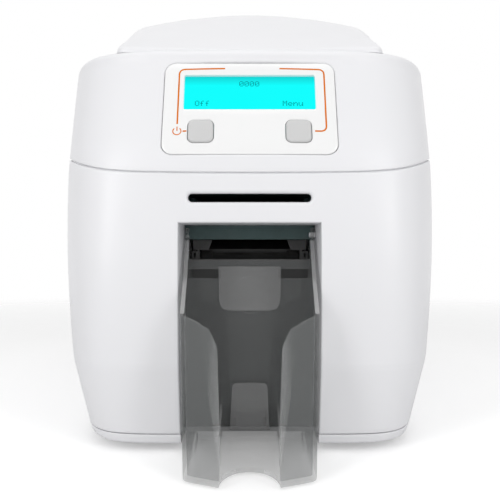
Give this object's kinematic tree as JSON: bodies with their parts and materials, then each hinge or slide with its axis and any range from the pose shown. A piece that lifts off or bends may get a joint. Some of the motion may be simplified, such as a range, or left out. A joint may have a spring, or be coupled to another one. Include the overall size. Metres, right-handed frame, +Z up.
{
  "type": "id card printer",
  "caption": "Desktop printer for plastic cards: humped hinged lid with a sloped control panel, a hand-feed slot and a clear pull-off card stacker.",
  "frame": {"origin": "middle of the footprint, on the table that the feet stand on", "axes": "+Z up, -Y the front with the card slot and the stacker, +X to the right as the picture sees it"},
  "size_m": [0.218, 0.4308, 0.271],
  "materials": {
    "casing_white": "fine moulded texture",
    "panel_white": "semi-gloss",
    "button_grey": "satin",
    "lcd_cyan": "backlit film",
    "teal_black": "satin",
    "black_plastic": "satin",
    "smoked_plastic": "clear, smoked",
    "liner_grey": "matt",
    "rubber_black": "matt",
    "cleaning_rubber": "tacky",
    "zinc_steel": "zinc plated",
    "bright_steel": "ground",
    "head_aluminium": "extruded",
    "gear_white": "acetal",
    "pinion_brass": "cut",
    "bush_tan": "acetal",
    "motor_black": "black",
    "board_green": "solder mask",
    "film_red": "thin film",
    "film_blue": "thin film"
  },
  "bodies": {
    "casing": {"base_pan": "casing_white", "rubber_feet": "rubber_black", "main_case": "casing_white", "case_screws": "bright_steel", "stacker_seat": "black_plastic", "exit_bezel": "teal_black", "slot_guide": "teal_black", "left_side_plate": "zinc_steel", "right_side_plate": "zinc_steel", "card_track": "black_plastic", "exit_chute": "black_plastic", "roller_bushes": "bush_tan", "drive_belts": "rubber_black", "drive_motor": "motor_black", "card_magazine": "black_plastic", "film_motor": "motor_black", "dye_film": "film_red", "main_board": "board_green", "power_inlet": "black_plastic", "usb_port": "bright_steel", "ethernet_port": "bright_steel", "fan_frame": "black_plastic", "hinge_pins": "bright_steel"},
    "lid": {"lid_shell": "casing_white", "lid_liner": "liner_grey", "lid_screws": "bright_steel", "head_pivot_pin": "bright_steel", "control_panel": "panel_white", "display": "lcd_cyan", "panel_board": "board_green", "door_pin": "bright_steel"},
    "card_door": {"hopper_door": "casing_white"},
    "head": {"head_arm": "zinc_steel", "print_head": "head_aluminium"},
    "left_key": {"left_button": "button_grey"},
    "right_key": {"right_button": "button_grey"},
    "stacker": {"output_stacker": "smoked_plastic"},
    "weight": {"card_weight": "bright_steel"},
    "platen": {"platen_roller": "rubber_black", "platen_gear": "gear_white"},
    "drive_pinion": {"motor_pinion": "pinion_brass"},
    "front_feed": {"front_feed_roller": "rubber_black"},
    "mid_feed": {"mid_feed_roller": "rubber_black"},
    "pick": {"pick_roller": "rubber_black"},
    "exit_shaft": {"exit_roller": "rubber_black"},
    "front_pinch": {"front_pinch_roller": "bright_steel"},
    "mid_pinch": {"mid_pinch_roller": "bright_steel"},
    "cleaner": {"cleaning_roller": "cleaning_rubber"},
    "gate": {"exit_gate": "black_plastic"},
    "takeup": {"takeup_spool": "film_blue", "takeup_gear": "gear_white"},
    "takeup_pinion": {"film_pinion": "pinion_brass"},
    "supply": {"supply_spool": "film_red"},
    "fan": {"fan_rotor": "black_plastic"}
  },
  "joints": [
    {"name": "lid_hinge", "type": "hinge", "parent": "casing", "child": "lid", "pos_m": [0, 0.21225, 0.18925], "axis": [-1, 0, 0], "range_deg": [0, 60]},
    {"name": "card_door_hinge", "type": "hinge", "parent": "lid", "child": "card_door", "pos_m": [0, 0.20335, 0.25], "axis": [-1, 0, 0], "range_deg": [0, 100]},
    {"name": "head_lift", "type": "hinge", "parent": "lid", "child": "head", "pos_m": [0, 0.00835, 0.16], "axis": [-1, 0, 0], "range_deg": [0, 5]},
    {"name": "left_button_press", "type": "slide", "parent": "lid", "child": "left_key", "axis": [0, 0.9272, -0.3746], "range_m": [0, 0.001], "stiffness_N_per_m": 800},
    {"name": "right_button_press", "type": "slide", "parent": "lid", "child": "right_key", "axis": [0, 0.9272, -0.3746], "range_m": [0, 0.001], "stiffness_N_per_m": 800},
    {"name": "stacker_pull", "type": "slide", "parent": "casing", "child": "stacker", "axis": [0, -1, 0], "range_m": [0, 0.09]},
    {"name": "card_weight_lift", "type": "slide", "parent": "casing", "child": "weight", "axis": [0, 0, 1], "range_m": [0, 0.07]},
    {"name": "platen_spin", "type": "hinge", "parent": "casing", "child": "platen", "pos_m": [0, -0.02165, 0.12162], "axis": [1, 0, 0], "continuous": true},
    {"name": "drive_pinion_spin", "type": "hinge", "parent": "casing", "child": "drive_pinion", "pos_m": [0, -0.02165, 0.09352], "axis": [1, 0, 0], "continuous": true},
    {"name": "front_feed_spin", "type": "hinge", "parent": "casing", "child": "front_feed", "pos_m": [0, -0.10165, 0.12462], "axis": [1, 0, 0], "continuous": true},
    {"name": "mid_feed_spin", "type": "hinge", "parent": "casing", "child": "mid_feed", "pos_m": [0, 0.05335, 0.12462], "axis": [1, 0, 0], "continuous": true},
    {"name": "pick_spin", "type": "hinge", "parent": "casing", "child": "pick", "pos_m": [0, 0.11335, 0.12062], "axis": [1, 0, 0], "continuous": true},
    {"name": "exit_roller_spin", "type": "hinge", "parent": "casing", "child": "exit_shaft", "pos_m": [0, -0.12165, 0.09961], "axis": [1, 0, 0], "continuous": true},
    {"name": "front_pinch_spin", "type": "hinge", "parent": "casing", "child": "front_pinch", "pos_m": [0, -0.10165, 0.13488], "axis": [1, 0, 0], "continuous": true},
    {"name": "mid_pinch_spin", "type": "hinge", "parent": "casing", "child": "mid_pinch", "pos_m": [0, 0.05335, 0.13488], "axis": [1, 0, 0], "continuous": true},
    {"name": "cleaning_roller_spin", "type": "hinge", "parent": "casing", "child": "cleaner", "pos_m": [0, 0.06835, 0.13538], "axis": [1, 0, 0], "continuous": true},
    {"name": "exit_gate_tilt", "type": "hinge", "parent": "casing", "child": "gate", "pos_m": [0, -0.07115, 0.1274], "axis": [1, 0, 0], "range_deg": [0, 8]},
    {"name": "takeup_spin", "type": "hinge", "parent": "casing", "child": "takeup", "pos_m": [0, -0.07365, 0.152], "axis": [1, 0, 0], "continuous": true},
    {"name": "takeup_pinion_spin", "type": "hinge", "parent": "casing", "child": "takeup_pinion", "pos_m": [0, -0.07365, 0.1309], "axis": [1, 0, 0], "continuous": true},
    {"name": "supply_spin", "type": "hinge", "parent": "casing", "child": "supply", "pos_m": [0, 0.03335, 0.152], "axis": [1, 0, 0], "continuous": true},
    {"name": "fan_spin", "type": "hinge", "parent": "casing", "child": "fan", "pos_m": [0.048, 0.19835, 0.08], "axis": [0, 1, 0], "continuous": true}
  ],
  "couplings": [
    {"joint": "drive_pinion_spin", "follows": "platen_spin", "ratio": -3},
    {"joint": "front_feed_spin", "follows": "platen_spin", "ratio": 1},
    {"joint": "mid_feed_spin", "follows": "platen_spin", "ratio": 1},
    {"joint": "pick_spin", "follows": "platen_spin", "ratio": 1},
    {"joint": "exit_roller_spin", "follows": "platen_spin", "ratio": 1},
    {"joint": "front_pinch_spin", "follows": "platen_spin", "ratio": -1.1111},
    {"joint": "mid_pinch_spin", "follows": "platen_spin", "ratio": -1.1111},
    {"joint": "takeup_pinion_spin", "follows": "takeup_spin", "ratio": -2.5}
  ]
}
